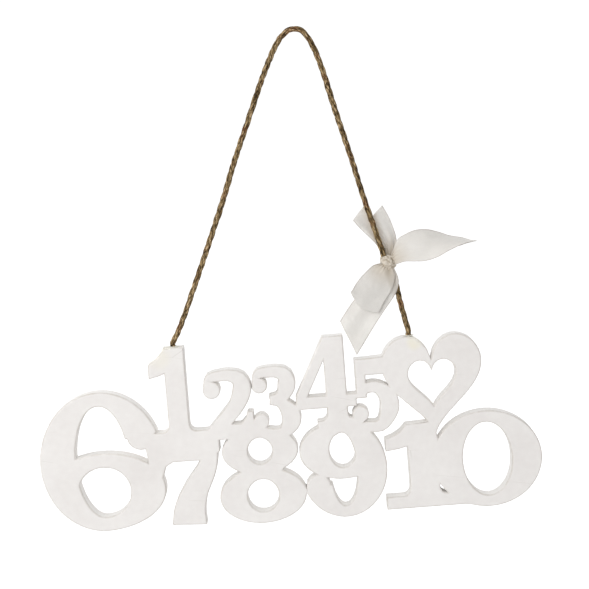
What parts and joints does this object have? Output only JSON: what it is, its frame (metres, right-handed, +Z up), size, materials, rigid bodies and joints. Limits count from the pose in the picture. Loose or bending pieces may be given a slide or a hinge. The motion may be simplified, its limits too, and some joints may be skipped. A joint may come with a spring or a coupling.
{
  "type": "hanging wooden sign",
  "caption": "Cut-out wooden sign of fused bold figures and an open heart, on a jute twine with a ribbon bow.",
  "frame": {"origin": "the middle of the twine's top bend, where it lies over whatever holds the sign", "axes": "+Z up, +X to the right along the sign, +Y through its thickness towards its back"},
  "size_m": [0.3806, 0.0184, 0.3831],
  "materials": {
    "white_paint": "satin warm white paint",
    "jute": "twisted natural jute fibre",
    "glue": "dried pale yellow glue",
    "ribbon": "sheer off-white ribbon"
  },
  "bodies": {
    "twine": {"hanging_twine": "jute"},
    "board": {"sign_board": "white_paint", "left_twine_end": "jute", "right_twine_end": "jute", "left_glue_plug": "glue", "right_glue_plug": "glue"},
    "bow": {"bow_knot": "ribbon", "bow_loop_right": "ribbon", "bow_loop_left": "ribbon", "bow_tail_upper": "ribbon", "bow_tail_lower": "ribbon"}
  },
  "joints": [
    {"name": "sign_swing", "type": "hinge", "parent": "twine", "child": "board", "pos_m": [-0.00264, 0, -0.23257], "axis": [0.9988, 0, 0.0487], "range_deg": [-90, 90]},
    {"name": "bow_slide", "type": "slide", "parent": "twine", "child": "bow", "axis": [-0.3134, 0, 0.9496], "range_m": [0, 0.11]}
  ]
}
